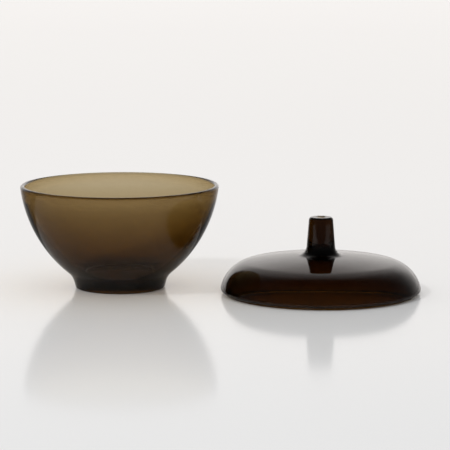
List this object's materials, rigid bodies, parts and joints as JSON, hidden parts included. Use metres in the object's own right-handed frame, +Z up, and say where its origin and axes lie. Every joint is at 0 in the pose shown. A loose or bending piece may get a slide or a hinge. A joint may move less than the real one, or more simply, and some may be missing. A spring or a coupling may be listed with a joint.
{
  "type": "lidded glass bowl",
  "caption": "Footed round bowl of smoked brown glass with its domed lid, which has a tapered knob and lies right way up beside the bowl.",
  "frame": {"origin": "centre of the bowl's foot ring, on the surface that the bowl and the lid both stand on", "axes": "+Z up along the bowl's own axis; +X to the right as seen from the front, towards the lid; +Y away from the front"},
  "size_m": [0.2613, 0.1527, 0.068],
  "materials": {
    "smoked_glass": "polished, transparent, tinted brown through its whole thickness"
  },
  "bodies": {
    "bowl": {"bowl": "smoked_glass"},
    "lid": {"lid": "smoked_glass"}
  },
  "joints": [
    {"name": "lid_lift", "type": "slide", "parent": "bowl", "child": "lid", "axis": [0, 0, 1], "range_m": [0, 0.15]}
  ]
}
